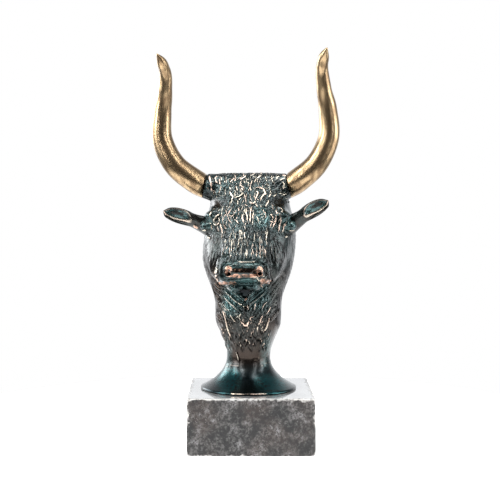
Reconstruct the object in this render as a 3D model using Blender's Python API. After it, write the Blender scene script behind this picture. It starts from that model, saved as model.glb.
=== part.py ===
"""A bull's head and neck in cast bronze, with two brass horns, on a square stone plinth.

Metres, +Z up, the face towards -Y. The origin is the middle of the plinth's underside.

The casting is worked out on a grid of its own: figure units, of which BUST_HEIGHT holds
FIGURE_UNITS, measured up from the foot's underside, with the neck's axis at x = y = 0.
"""

import math

import bmesh
import bpy
import numpy as np


# Driving sizes, in metres and degrees.
PLINTH_WIDTH = 0.090
PLINTH_HEIGHT = 0.040
PLINTH_EDGE = 0.0007
SEAT_GAP = 0.0003
BUST_HEIGHT = 0.157
BUST_OFFSET_X = -0.0013
HEAD_TURN = 5.2
NECK_SWAY = 0.0014
FOOT_RADIUS = 0.0351
FOOT_LIP = 0.0018
FLARE_HEIGHT = 0.022
SLEEVE_REACHES = {"left": 0.0325, "right": 0.0288}
SLEEVE_RADIUS = 0.0089
SLEEVE_TILT = 11.0
HORN_ROOT_RADIUS = 0.0083
HORN_REACHES = {"left": 0.0297, "right": 0.0286}
HORN_RISES = {"left": 0.0908, "right": 0.0930}
EAR_LENGTH = 0.0405
EAR_WIDTH = 0.0128
EAR_RISES = {"left": 17.3, "right": 28.5}

# The figure's own units, one of which is 1 mm at the real height.
FIGURE_UNITS = 157.0
UNIT = BUST_HEIGHT / FIGURE_UNITS

# Mesh density.
COLUMNS = 76
HORN_SIDES = 12
HORN_RINGS = 21
EAR_SIDES = 12
EAR_RINGS = 9


def through(position, stations, values):
    """Smooth curve through the values at the stations.

    It is a cubic Hermite whose slopes are the central differences.
    """
    stations = np.asarray(stations, dtype=float)
    values = np.asarray(values, dtype=float)
    slopes = np.gradient(values, stations)
    position = np.clip(position, stations[0], stations[-1])
    first = np.clip(np.searchsorted(stations, position) - 1, 0, len(stations) - 2)
    span = stations[first + 1] - stations[first]
    t = (position - stations[first]) / span
    start = (1 + 2 * t) * (1 - t) ** 2 * values[first]
    start_slope = t * (1 - t) ** 2 * span * slopes[first]
    end = t ** 2 * (3 - 2 * t) * values[first + 1]
    end_slope = t ** 2 * (t - 1) * span * slopes[first + 1]
    return start + start_slope + end + end_slope


def join(first, second, blend):
    """Union of two forms, with a fillet as wide as the blend."""
    mix = np.clip(0.5 + 0.5 * (second - first) / blend, 0.0, 1.0)
    return second * (1 - mix) + first * mix - blend * mix * (1 - mix)


def cut(body, tool, blend):
    """The body without the tool, with a rounded edge as wide as the blend."""
    return -join(-body, tool, blend)


def lump(x, y, z, centre, halves, tilt=0.0, power=2.0):
    """Depth below the surface of a rounded block, leaning back by tilt degrees about X.

    The block is |x/a|^p + |y/b|^p + |z/c|^p = 1, and the depth is measured along the
    line to its centre.
    """
    lean = math.radians(tilt)
    dx, dy, dz = x - centre[0], y - centre[1], z - centre[2]
    across = dy * math.cos(lean) - dz * math.sin(lean)
    along = dy * math.sin(lean) + dz * math.cos(lean)
    reach = np.sqrt(dx ** 2 + across ** 2 + along ** 2) + 1e-9
    size = (np.abs(dx / halves[0]) ** power + np.abs(across / halves[1]) ** power
            + np.abs(along / halves[2]) ** power) ** (1 / power)
    return reach * (1 - 1 / np.maximum(size, 1e-6))


# The column is the neck and the skull above it: half-width, front and back by height.
FLARE_POWER = 2.3
LIP = FOOT_LIP / UNIT
WAIST_HEIGHT = (FOOT_LIP + FLARE_HEIGHT) / UNIT
COLUMN_HEIGHTS = (24, 29, 35, 41, 47, 53, 64.5, 70.4, 79.3, 88.2, 101.5, 109, 115, 125, 132, 141, 150, 157)
COLUMN_WIDTHS = (15.9, 16.3, 18.2, 20.8, 23.4, 24.2, 24.5, 25.8, 29, 32, 33.8, 33.7, 33.0, 31.8, 30, 28.2, 27.5, 25)
PROFILE_HEIGHTS = (24, 35, 47, 60, 70, 80, 95, 110, 124, 138, 148, 157)
FRONT_DEPTHS = (15.9, 18.5, 23.3, 25.6, 25.4, 26, 29, 32.5, 34, 29.5, 23, 13)
BACK_DEPTHS = (15.9, 18, 22, 24.6, 26.2, 27.8, 29.6, 29.6, 27, 21, 14, 6)


def column(x, y, z):
    """The round foot, its flare, the neck and the skull, in level slices."""
    rise = np.clip((z - LIP) / (WAIST_HEIGHT - LIP), 0.0, 1.0)
    flare = (1 - rise) ** FLARE_POWER
    waist = COLUMN_WIDTHS[0]
    foot = waist + (FOOT_RADIUS / UNIT - waist) * flare
    shift = z - WAIST_HEIGHT + COLUMN_HEIGHTS[0]
    above = z > WAIST_HEIGHT
    width = np.where(above, through(shift, COLUMN_HEIGHTS, COLUMN_WIDTHS), foot)
    front = np.where(above, through(shift, PROFILE_HEIGHTS, FRONT_DEPTHS), foot)
    back = np.where(above, through(shift, PROFILE_HEIGHTS, BACK_DEPTHS), foot)
    depth = np.where(y < 0, front, back)
    power = 2.0 + 0.5 * np.clip((z - 70) / 40, 0, 1)
    reach = np.sqrt(x ** 2 + y ** 2) + 1e-9
    size = (np.abs(x / width) ** power + np.abs(y / depth) ** power) ** (1 / power)
    side = reach * (1 - 1 / np.maximum(size, 1e-6))
    return cut(side, FIGURE_UNITS - z, 4.0)


# The horn sleeves are a hairy bar across the poll, cut at a slant where the horns seat.
SLEEVE_Y = -9.0
SLEEVE_Z = 148.4


def sleeve(x, y, z):
    """A round bar along X, its ends leaning in at the top by SLEEVE_TILT."""
    lean = math.radians(SLEEVE_TILT)
    reach = np.where(x < 0, SLEEVE_REACHES["left"], SLEEVE_REACHES["right"]) / UNIT
    side = np.sqrt((y - SLEEVE_Y) ** 2 + (z - SLEEVE_Z) ** 2) - SLEEVE_RADIUS / UNIT
    end = (np.abs(x) - reach) * math.cos(lean) + (z - SLEEVE_Z) * math.sin(lean)
    return cut(side, -end, 1.5)


def casting(x, y, z):
    """Signed depth of the whole casting without its ears: negative inside."""
    bar = sleeve(x, y, z)
    x = np.abs(x)
    form = column(x, y, z)
    # Snout, cheek bone, muzzle and chin.
    form = join(form, lump(x, y, z, (0, -34.5, 108), (16.5, 14, 32), 27, 2.5), 7.0)
    form = join(form, lump(x, y, z, (19, -22, 104), (9, 12, 24), 20), 8.0)
    form = join(form, lump(x, y, z, (0, -44.6, 88.9), (18.6, 12.8, 10.2), 14, 3.8), 3.0)
    form = join(form, lump(x, y, z, (0, -38.5, 78.2), (11.5, 13, 4.4), -6, 2.4), 2.0)
    # Brows, sockets, eyes and horn sleeves.
    form = join(form, lump(x, y, z, (25, -22.5, 126), (6.5, 8, 4.5), 10), 6.0)
    form = cut(form, lump(x, y, z, (34, -25.5, 118.5), (8, 10, 7.0)), 2.5)
    form = join(form, lump(x, y, z, (28.2, -21.2, 119.4), (5.4, 6.2, 5.0)), 0.6)
    form = join(form, bar, 3.0)
    # Nose pad, nostrils, mouth and the hollow of the throat.
    form = join(form, lump(x, y, z, (0, -54, 89.4), (13.6, 5.8, 4.6), 14, 3.0), 0.8)
    form = cut(form, lump(x, y, z, (10.4, -60.0, 87.6), (3.0, 4.6, 2.6)), 1.0)
    form = cut(form, lump(x, y, z, (0, -54.5, 79.6), (14.0, 6.5, 1.3), 6, 4.0), 0.8)
    return cut(form, lump(x, y, z, (0, -31, 67), (6.0, 8, 7.5)), 4.0)


# The sections fan out from a spine: by its height, the spine's y, the angles at which a
# section leaves it to the front and the back, and the share of the sleeves it takes in.
SPINE_HEIGHTS = (24, 60, 90, 105, 125, 147)
SPINE_Y = (0, 0, -3, -7, -8, -7)
FRONT_HEIGHTS = (50, 58, 66, 76, 84, 90, 93, 96, 100, 105, 112, 121, 129, 135, 139, 143, 147)
FRONT_ANGLES = (0, -1, -7, -19, -28, -34, -25, -17.5, -12.5, -9, -5, 4, 20, 40, 60, 78, 90)
BACK_HEIGHTS = (90, 100, 110, 120, 130, 138, 147)
BACK_ANGLES = (0, 0, 8, 24, 48, 70, 90)
STRETCH_HEIGHTS = (122, 132, 138, 143, 147)
STRETCHES = (0, 8, 18, 23, 25)
FLAT_POWERS = (0, 0.6, 1.4, 2.0, 2.4)
FLARE_ROWS = 6
ROW_COUNTS = (0, 17, 21, 29, 47)
ROW_HEIGHTS = (24, 90, 96, 104, 147)
FAR = 72.0
STEPS = 48
COLUMN_CROWDING = 0.30


def spine_heights():
    """Heights of the sections: the flat foot and lip, the flare, then the neck and head."""
    flare = LIP + (WAIST_HEIGHT - LIP) * (np.arange(1, FLARE_ROWS) / FLARE_ROWS) ** 1.2
    body = np.interp(np.arange(ROW_COUNTS[-1] + 1), ROW_COUNTS, ROW_HEIGHTS)
    body = body + (WAIST_HEIGHT - COLUMN_HEIGHTS[0]) * np.linspace(1, 0, len(body))
    return np.concatenate([[0.0, LIP], flare, body])


# Locks of hair: every other column of the front stands proud over a few rows at a time,
# by this share of the distance to the next column.
LOCK_SLOPE = 0.45
LOCK_ROWS = 3.0
CROWN_FADE = 3.0


def hairiness(x, y, z):
    """Where the front is shaggy: forehead, nose and throat, fading at cheeks and neck."""
    forehead = np.exp(-(x / 21) ** 8) * np.clip((z - 97) / 8, 0, 1) * (y < -6)
    throat = np.exp(-(x / 15) ** 4) * np.clip((77 - z) / 6, 0, 1) * np.clip((z - 28) / 26, 0, 1)
    return np.where(z > 90, forehead, throat * (y < 0))


def locks(rows, columns):
    """Staggered tufts: +1 and -1 by column, changing over every LOCK_ROWS rows."""
    row, column_number = np.meshgrid(np.arange(rows), np.arange(columns), indexing="ij")
    wave = np.sin(math.pi * row / LOCK_ROWS + 0.9 * np.sin(1.7 * column_number))
    return np.cos(math.pi * column_number) * np.clip(1.6 * wave, -1, 1)


def surface(heights, angles):
    """Point where each ray of each section leaves the casting.

    A ray starts on the spine, moved along X by stretch * sin u. It runs at
    cos u * (section line) + sin u * |sin u|^flat * X, and the first place from outside
    where the casting is solid is found by steps and then by halving.
    """
    h, u = np.meshgrid(heights, angles, indexing="ij")
    front = np.radians(through(h, FRONT_HEIGHTS, FRONT_ANGLES))
    back = np.radians(through(h, BACK_HEIGHTS, BACK_ANGLES))
    stretch = through(h, STRETCH_HEIGHTS, STRETCHES)
    flat = through(h, STRETCH_HEIGHTS, FLAT_POWERS)
    lift = np.where(np.cos(u) >= 0, front, back)
    start = np.stack([stretch * np.sin(u), through(h, SPINE_HEIGHTS, SPINE_Y), h])
    ray = np.stack([
        np.sin(u) * np.abs(np.sin(u)) ** flat,
        -np.cos(u) * np.cos(lift),
        np.abs(np.cos(u)) * np.sin(lift),
    ])
    ray = ray / np.sqrt((ray ** 2).sum(axis=0))
    reach = np.linspace(FAR, 0.5, STEPS)
    points = start[:, None] + ray[:, None] * reach[None, :, None, None]
    solid = casting(*points) < 0
    hit = np.argmax(solid, axis=0)
    inner = reach[hit]
    outer = reach[np.maximum(hit - 1, 0)]
    for _ in range(16):
        middle = 0.5 * (inner + outer)
        inside = casting(*(start + ray * middle)) < 0
        inner = np.where(inside, middle, inner)
        outer = np.where(inside, outer, middle)
    points = start + ray * inner
    spacing = np.sqrt(((np.roll(points, -1, axis=-1) - points) ** 2).sum(axis=0))
    shag = hairiness(*points) * np.clip((SPINE_HEIGHTS[-1] - h) / CROWN_FADE, 0, 1)
    return points + ray * LOCK_SLOPE * spacing * locks(*h.shape) * shag


TURN_PIVOT_Y = -15.0
# The neck bows a little to the left between the foot and the cheeks.
SWAY_HEIGHTS = (30, 50, 95, 112)
SWAY_SHARES = (0, 1, 1, 0)


def turned(points):
    """Turn the head about an upright axis before the neck, more and more above the waist."""
    share = np.clip((points[2] - 20) / 25, 0, 1)
    turn = math.radians(HEAD_TURN) * share ** 2 * (3 - 2 * share)
    ahead = points[1] - TURN_PIVOT_Y
    x = np.cos(turn) * points[0] + np.sin(turn) * ahead
    y = -np.sin(turn) * points[0] + np.cos(turn) * ahead + TURN_PIVOT_Y
    sway = np.interp(points[2], SWAY_HEIGHTS, SWAY_SHARES) * NECK_SWAY / UNIT
    return np.stack([x - sway, y, points[2]])


def placed(points):
    """Figure units, unturned, to metres in the world."""
    points = turned(points) * UNIT
    base = PLINTH_HEIGHT + SEAT_GAP
    return points + np.array([BUST_OFFSET_X, 0.0, base]).reshape((3,) + (1,) * (points.ndim - 1))


def solid(name, rings, close_start=True, close_end=True):
    """Closed mesh object through the rings, an array of points by axis, ring and place."""
    mesh = bpy.data.meshes.new(name)
    shape = bmesh.new()
    count = rings.shape[2]
    rows = [[shape.verts.new(point) for point in ring] for ring in rings.transpose(1, 2, 0)]
    for low, high in zip(rows, rows[1:]):
        for j in range(count):
            k = (j + 1) % count
            shape.faces.new((low[j], low[k], high[k], high[j]))
    if close_start:
        shape.faces.new(rows[0][::-1])
    if close_end:
        shape.faces.new(rows[-1])
    bmesh.ops.remove_doubles(shape, verts=shape.verts, dist=0.00001)
    bmesh.ops.triangulate(shape, faces=shape.faces)
    bmesh.ops.recalc_face_normals(shape, faces=shape.faces)
    shape.to_mesh(mesh)
    shape.free()
    mesh.shade_smooth()
    mesh.set_sharp_from_angle(angle=math.radians(50))
    thing = bpy.data.objects.new(name, mesh)
    bpy.context.collection.objects.link(thing)
    return thing


def finish(thing, colour, metallic, roughness):
    """Give an object its own material."""
    material = bpy.data.materials.new(thing.name)
    material.use_nodes = True
    shader = material.node_tree.nodes["Principled BSDF"]
    shader.inputs["Base Color"].default_value = (*colour, 1.0)
    shader.inputs["Metallic"].default_value = metallic
    shader.inputs["Roughness"].default_value = roughness
    thing.data.materials.append(material)


def make_plinth():
    """Square block with a fine chamfer along every edge."""
    mesh = bpy.data.meshes.new("plinth")
    shape = bmesh.new()
    bmesh.ops.create_cube(shape, size=1.0)
    bmesh.ops.scale(shape, vec=(PLINTH_WIDTH, PLINTH_WIDTH, PLINTH_HEIGHT), verts=shape.verts)
    bmesh.ops.translate(shape, vec=(0, 0, PLINTH_HEIGHT / 2), verts=shape.verts)
    bmesh.ops.bevel(shape, geom=shape.edges, offset=PLINTH_EDGE, segments=1, affect="EDGES")
    shape.to_mesh(mesh)
    shape.free()
    plinth = bpy.data.objects.new("plinth", mesh)
    bpy.context.collection.objects.link(plinth)
    finish(plinth, (0.20, 0.18, 0.16), 0.0, 0.45)


# The ear: by share of its length, half the height of its section and half its thickness,
# as shares of EAR_WIDTH, and the depth of the cup in its front.
EAR_ROOT = (26.0, -11.5, 118.3)
EAR_FORWARD = 28.0
EAR_SHARES = (0.0, 0.12, 0.28, 0.42, 0.55, 0.70, 0.84, 0.94, 1.0)
EAR_HALVES = (0.72, 0.59, 0.49, 0.45, 0.49, 0.50, 0.43, 0.29, 0.05)
EAR_THICKS = (0.62, 0.48, 0.34, 0.29, 0.26, 0.24, 0.19, 0.12, 0.04)
EAR_CUPS = (0.0, 0.0, 0.0, 0.16, 0.42, 0.44, 0.34, 0.16, 0.0)


def make_ear(side, mirror):
    """Ear lofted from its root inside the skull to its tip, hollowed in front."""
    share = np.linspace(0, 1, EAR_RINGS)[:, None]
    angle = np.linspace(0, 2 * math.pi, EAR_SIDES, endpoint=False)[None, :]
    rise = math.radians(EAR_RISES[side])
    forward = math.radians(EAR_FORWARD)
    axis = np.array([mirror * math.cos(rise) * math.cos(forward), -math.cos(rise) * math.sin(forward),
                     math.sin(rise)])
    face = np.array([mirror * math.sin(forward), -math.cos(forward), -0.25])
    face = face - axis * np.dot(face, axis)
    face = face / np.linalg.norm(face)
    upward = np.cross(face, axis) * mirror
    width = EAR_WIDTH / UNIT
    half = width * through(share, EAR_SHARES, EAR_HALVES)
    thick = width * through(share, EAR_SHARES, EAR_THICKS)
    cup = width * through(share, EAR_SHARES, EAR_CUPS)
    up = half * np.sin(angle)
    out = thick * np.cos(angle) - cup * np.clip(np.cos(angle), 0, 1) ** 0.7
    root = np.array([mirror * EAR_ROOT[0], EAR_ROOT[1], EAR_ROOT[2]])
    along = EAR_LENGTH / UNIT * share + 0 * angle
    points = (root[:, None, None] + axis[:, None, None] * along + upward[:, None, None] * up
              + face[:, None, None] * out)
    return solid("ear_" + side, placed(points))


def make_head():
    """The casting, with both ears joined to it."""
    turn = np.linspace(-1, 1, COLUMNS // 2 + 1)[:-1]
    half = math.pi / 2 * (turn - COLUMN_CROWDING * np.sin(math.pi * turn) / math.pi)
    angles = np.concatenate([half, half + math.pi])
    points = placed(surface(spine_heights(), angles))
    head = solid("head", points, close_end=False)
    for side, mirror in (("left", -1.0), ("right", 1.0)):
        ear = make_ear(side, mirror)
        ear.hide_render = True
        ear.display_type = "WIRE"
        union = head.modifiers.new("join ear " + side, "BOOLEAN")
        union.operation = "UNION"
        union.solver = "EXACT"
        union.object = ear
    finish(head, (0.035, 0.075, 0.075), 0.9, 0.38)


# The horn's middle line, as shares of its reach outwards, of its rise forwards and
# upwards, and its thickness as shares of its root's, by share of its length.
HORN_SHARES = (0.0, 0.13, 0.28, 0.45, 0.62, 0.80, 0.92, 0.97, 1.0)
HORN_OUT = (0.0, 0.24, 0.69, 1.0, 0.98, 0.88, 0.845, 0.895, 0.955)
HORN_FORWARD = (0.0, 0.055, 0.098, 0.11, 0.15, 0.225, 0.315, 0.395, 0.45)
HORN_UP = (0.0, 0.045, 0.165, 0.37, 0.58, 0.745, 0.90, 0.96, 1.0)
HORN_THICKNESS = (1.05, 1.06, 0.99, 0.905, 0.79, 0.625, 0.49, 0.38, 0.06)
HORN_SETTLE = 0.10


def make_horn(side, mirror):
    """Horn lofted along its line, its root face flat against the end of the sleeve."""
    share = np.linspace(0, 1, HORN_RINGS)
    line = np.stack([
        HORN_REACHES[side] * through(share, HORN_SHARES, HORN_OUT),
        -HORN_RISES[side] * through(share, HORN_SHARES, HORN_FORWARD),
        HORN_RISES[side] * through(share, HORN_SHARES, HORN_UP),
    ])
    heading = np.gradient(line, share, axis=1)
    heading = heading / np.linalg.norm(heading, axis=0)
    lean = math.radians(SLEEVE_TILT)
    seat = np.array([math.cos(lean), 0.0, math.sin(lean)])
    settle = np.clip(share / HORN_SETTLE, 0, 1)
    heading = seat[:, None] * (1 - settle) + heading * settle
    heading = heading / np.linalg.norm(heading, axis=0)
    across = np.cross(heading, np.array([0.0, -1.0, 0.0]), axis=0)
    across = across / np.linalg.norm(across, axis=0)
    over = np.cross(heading, across, axis=0)
    radius = HORN_ROOT_RADIUS * through(share, HORN_SHARES, HORN_THICKNESS)
    angle = np.linspace(0, 2 * math.pi, HORN_SIDES, endpoint=False)
    rings = (line[:, :, None] + across[:, :, None] * (radius[:, None] * np.cos(angle))
             + over[:, :, None] * (radius[:, None] * np.sin(angle)))
    root = np.array([SLEEVE_REACHES[side], SLEEVE_Y * UNIT, SLEEVE_Z * UNIT]) + SEAT_GAP * seat
    rings = (rings + root[:, None, None]) / UNIT
    rings[0] = rings[0] * mirror
    horn = solid("horn_" + side, placed(rings))
    finish(horn, (0.62, 0.42, 0.17), 1.0, 0.25)


for thing in list(bpy.data.objects):
    bpy.data.objects.remove(thing, do_unlink=True)
make_plinth()
make_head()
make_horn("left", -1.0)
make_horn("right", 1.0)
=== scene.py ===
import math

import bmesh
import bpy
import numpy as np
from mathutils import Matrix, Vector


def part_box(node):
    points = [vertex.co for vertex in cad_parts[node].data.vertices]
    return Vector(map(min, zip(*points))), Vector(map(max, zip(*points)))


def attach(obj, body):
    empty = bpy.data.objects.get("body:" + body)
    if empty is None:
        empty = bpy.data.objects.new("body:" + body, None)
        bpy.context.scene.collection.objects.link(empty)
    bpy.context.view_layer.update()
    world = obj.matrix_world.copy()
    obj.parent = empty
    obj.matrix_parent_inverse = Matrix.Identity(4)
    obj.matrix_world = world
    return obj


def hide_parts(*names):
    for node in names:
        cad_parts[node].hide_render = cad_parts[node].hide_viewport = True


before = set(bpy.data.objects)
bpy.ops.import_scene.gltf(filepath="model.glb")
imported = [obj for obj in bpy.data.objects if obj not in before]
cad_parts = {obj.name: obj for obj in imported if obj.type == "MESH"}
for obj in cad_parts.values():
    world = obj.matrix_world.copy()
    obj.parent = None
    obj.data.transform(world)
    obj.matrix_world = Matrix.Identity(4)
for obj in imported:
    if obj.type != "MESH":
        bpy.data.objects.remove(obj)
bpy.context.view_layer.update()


# Camera, light and floor.
# The camera stands level with the bull's eyes, 0.72 m away. The light is a grey tent, nearly
# black on the camera's side and white behind the statue, with eight soft lamps inside it.
EYE = (-0.0103, -0.7178, 0.167)
LENS = 69.8
SENSOR = 36.0
SHIFT = (0.0274, -0.068)


def add(name, data):
    """New object in the scene."""
    thing = bpy.data.objects.new(name, data)
    bpy.context.collection.objects.link(thing)
    return thing


camera = add("camera", bpy.data.cameras.new("camera"))
camera.location = EYE
camera.rotation_euler = (math.radians(90), 0, 0)
camera.data.lens = LENS
camera.data.sensor_width = SENSOR
camera.data.shift_x, camera.data.shift_y = SHIFT
camera.data.clip_start = 0.01
bpy.context.scene.camera = camera
bpy.context.scene.view_settings.view_transform = "Standard"


class Value:
    """A socket of a shader tree. Arithmetic on it adds the matching Math nodes."""

    def __init__(self, tree, socket=None):
        self.tree = tree
        self.socket = socket

    def node(self, kind, output=0, settings=None, inputs=None):
        """Any other node: its type, its settings, then its inputs as numbers or sockets."""
        made = self.tree.nodes.new("ShaderNode" + kind)
        for name, setting in (settings or {}).items():
            setattr(made, name, setting)
        for name, value in (inputs or {}).items():
            self.feed(made.inputs[name], value)
        return Value(self.tree, made.outputs[output])

    def feed(self, socket, value):
        """Link a value into a socket, or set the socket to it."""
        if isinstance(value, Value):
            self.tree.links.new(value.socket, socket)
        else:
            socket.default_value = value

    def math(self, operation, *others):
        """A Math node on this value and the others."""
        made = self.tree.nodes.new("ShaderNodeMath")
        made.operation = operation
        for socket, value in zip(made.inputs, (self,) + others):
            self.feed(socket, value)
        return Value(self.tree, made.outputs[0])

    def __add__(self, other):
        return self.math("ADD", other)

    def __mul__(self, other):
        return self.math("MULTIPLY", other)

    def __sub__(self, other):
        return self.math("SUBTRACT", other)

    def __rsub__(self, other):
        return (self * -1.0) + other

    __radd__ = __add__
    __rmul__ = __mul__

    def step(self, low, high):
        """Smooth step from 0 at low to 1 at high."""
        inputs = {"Value": self, "From Min": low, "From Max": high}
        return self.node("MapRange", 0, {"interpolation_type": "SMOOTHSTEP"}, inputs)

    def mix(self, first, second):
        """Colour that goes from the first to the second as this value goes from 0 to 1."""
        made = self.tree.nodes.new("ShaderNodeMix")
        made.data_type = "RGBA"
        self.feed(made.inputs[0], self)
        for socket, colour in zip(made.inputs[6:8], (first, second)):
            self.feed(socket, colour if isinstance(colour, Value) else (*colour, 1.0))
        return Value(self.tree, made.outputs[2])

    def blend(self, first, second):
        """Number that goes from the first to the second as this value goes from 0 to 1."""
        return self * (second - first) + first

    def attribute(self, name):
        """A number that the mesh stores at each of its points."""
        return self.node("Attribute", "Fac", {"attribute_name": name})

    def noise(self, place, scale, detail, roughness=0.5):
        """Fractal noise from 0 to 1 at a place, by its scale for a metre and its octaves."""
        inputs = {"Vector": place, "Scale": scale, "Detail": detail, "Roughness": roughness}
        return self.node("TexNoise", "Fac", None, inputs)

    def stretched(self, place, shares):
        """The place with its axes multiplied by these shares."""
        return self.node("VectorMath", "Vector", {"operation": "MULTIPLY"}, {0: place, 1: shares})

    def bump(self, height, distance, strength):
        """Normal of a surface with this relief."""
        inputs = {"Height": height, "Distance": distance, "Strength": strength}
        return self.node("Bump", "Normal", None, inputs)

    def shade(self, inputs):
        """Feed the material's Principled shader: each input by its name."""
        for name, value in inputs.items():
            self.feed(self.tree.nodes["Principled BSDF"].inputs[name], value)


world = bpy.data.worlds.new("tent")
bpy.context.scene.world = world
world.use_nodes = True
sky = Value(world.node_tree)
direction = {"Vector": sky.node("TexCoord", "Generated")}
upright = sky.node("SeparateXYZ", "Z", None, direction)
ahead = sky.node("SeparateXYZ", "Y", None, direction)
shadowed = (ahead * -1.0).step(0.05, 0.55) * (1.0 - upright.step(0.45, 0.9))
tent = shadowed.mix((0.25, 0.27, 0.29), (0.03, 0.032, 0.035))
tent = ahead.step(0.45, 0.88).mix(tent, (1.12, 1.14, 1.17))
backdrop = sky.node("LightPath", "Is Camera Ray").mix(tent, (1.0, 1.0, 1.0))
sky.feed(world.node_tree.nodes["Background"].inputs["Color"], backdrop)

# Area lamps by name, place, width and height in metres, watts and colour.
LAMP_AIM = (0.0, 0.0, 0.17)
LAMPS = (
    ("left strip", (-0.72, -0.22, 0.45), (0.29, 0.72), 8.0, (0.96, 0.98, 1.0)),
    ("right strip", (0.74, -0.25, 0.34), (0.16, 0.90), 4.6, (0.95, 0.98, 1.0)),
    ("right low", (0.72, -0.02, 0.12), (0.28, 0.36), 1.5, (0.95, 0.98, 1.0)),
    ("left panel", (-0.60, 0.38, 0.30), (0.60, 0.32), 3.9, (0.95, 0.98, 1.0)),
    ("left slit", (-0.31, -0.38, 0.55), (0.05, 1.10), 2.4, (1.0, 1.0, 1.0)),
    ("right slit", (0.27, -0.38, 0.55), (0.05, 1.10), 2.4, (1.0, 1.0, 1.0)),
    ("key", (-0.42, -0.60, 0.72), (0.22, 0.22), 2.6, (1.0, 0.98, 0.96)),
    ("overhead", (0.05, -0.15, 0.95), (0.60, 0.35), 6.0, (1.0, 1.0, 1.0)),
)
for name, place, sizes, power, colour in LAMPS:
    light = bpy.data.lights.new(name, "AREA")
    light.shape = "RECTANGLE"
    light.size, light.size_y = sizes
    light.energy = power
    light.color = colour
    lamp = add(name, light)
    lamp.location = place
    lamp.rotation_euler = (Vector(LAMP_AIM) - Vector(place)).to_track_quat("-Z", "Y").to_euler()

FLOOR_RADIUS = 0.30
FLOOR_SIDES = 96
turn = np.linspace(0, 2 * math.pi, FLOOR_SIDES, endpoint=False)
edge = FLOOR_RADIUS * np.stack([np.cos(turn), np.sin(turn), 0 * turn], axis=1)
floor_mesh = bpy.data.meshes.new("floor")
floor_mesh.from_pydata(edge.tolist(), [], [tuple(range(FLOOR_SIDES))])
floor = add("floor", floor_mesh)


def material(name):
    """New material, and its node tree as a Value."""
    made = bpy.data.materials.new(name)
    made.use_nodes = True
    return made, Value(made.node_tree)


paper, tree = material("white paper")
tree.shade({
    "Base Color": (0.85, 0.85, 0.85, 1),
    "Roughness": 0.9,
    "Emission Color": (1, 1, 1, 1),
    "Emission Strength": 0.65,
})
floor_mesh.materials.append(paper)


# Plinth.
# A sawn block of mottled grey-brown stone, polished on top and left rough on its sides,
# with small chips along every edge. The bust's foot stands in its middle.
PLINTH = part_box("plinth")
# Sizes in mm: the break along every edge, of a full chip and of a corner, the corner's reach,
# the pale band along an edge (worn stone and a painted highlight), and where the rough sides
# start and how soon they are full.
EDGE, CHIP, CORNER, CORNER_REACH = 0.35, 1.9, 1.6, 4.0
PALE_LIT_BAND = 2.1
ROUGH_START, ROUGH_FADE = 0.4, 1.5
# Noise above this makes a chip.
CHIP_START = 0.35


def clamp(values):
    """The values, kept between 0 and 1."""
    return np.clip(values, 0, 1)


def lattice(points, size, seed):
    """Value noise: a random number at each corner of cubes of this size, smoothly blended.

    Points are an array of (3, ...), and the noise runs from -1 to 1.
    """
    scaled = points / size
    cell = np.floor(scaled).astype(np.int64)
    share = scaled - cell
    share = share * share * (3 - 2 * share)
    total = 0.0
    for corner in range(8):
        bits = [(corner >> axis) & 1 for axis in range(3)]
        key = sum((cell[axis] + bits[axis]) * prime
                  for axis, prime in enumerate((73856093, 19349663, 83492791)))
        key = key + seed * 2654435761
        key = (key ^ (key >> 13)) * 1274126177 & 0x7FFFFFFF
        key = (key ^ (key >> 11)) * 668265263 & 0x7FFFFFFF
        value = (key ^ (key >> 15)) % 65536 / 32768.0 - 1.0
        weight = 1.0
        for axis in range(3):
            weight = weight * (share[axis] if bits[axis] else 1 - share[axis])
        total = total + weight * value
    return total


def marked_mesh(name, points, faces, attributes):
    """Mesh of points, an array of (row, place, 3) in metres, that stores numbers at them."""
    mesh = bpy.data.meshes.new(name)
    mesh.from_pydata(points.reshape(-1, 3).tolist(), [], faces)
    for key, values in attributes.items():
        values = np.broadcast_to(values, points.shape[:2]).astype(float)
        mesh.attributes.new(key, "FLOAT", "POINT").data.foreach_set("value", values.ravel())
    return mesh


def quads(index):
    """Corners of the faces between rows of points that close in rings, by their numbers."""
    low, high = index[:-1], index[1:]
    return np.stack([low, np.roll(low, -1, 1), np.roll(high, -1, 1), high], axis=-1)


def grid_mesh(name, rings, **attributes):
    """Closed mesh through rings of points, the first and last of which are capped."""
    index = np.arange(rings.shape[0] * rings.shape[1]).reshape(rings.shape[:2])
    faces = quads(index).reshape(-1, 4).tolist() + [index[0][::-1].tolist(), index[-1].tolist()]
    return marked_mesh(name, rings, faces, attributes)


def seal(mesh, gap=0.00001):
    """Merge the points that coincide, and turn every face outwards."""
    shape = bmesh.new()
    shape.from_mesh(mesh)
    bmesh.ops.remove_doubles(shape, verts=shape.verts, dist=gap)
    bmesh.ops.recalc_face_normals(shape, faces=shape.faces)
    shape.to_mesh(mesh)
    shape.free()
    mesh.shade_smooth()


def piece(name, mesh, look, *nodes):
    """The mesh as an object of the statue, in place of the named solids."""
    mesh.materials.append(look)
    thing = add(name, mesh)
    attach(thing, "root")
    for node in nodes:
        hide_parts(node)


def runs(*spans):
    """Evenly spaced numbers, one run after another: each from, to and how many."""
    return np.concatenate([np.linspace(*span) for span in spans])


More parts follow.
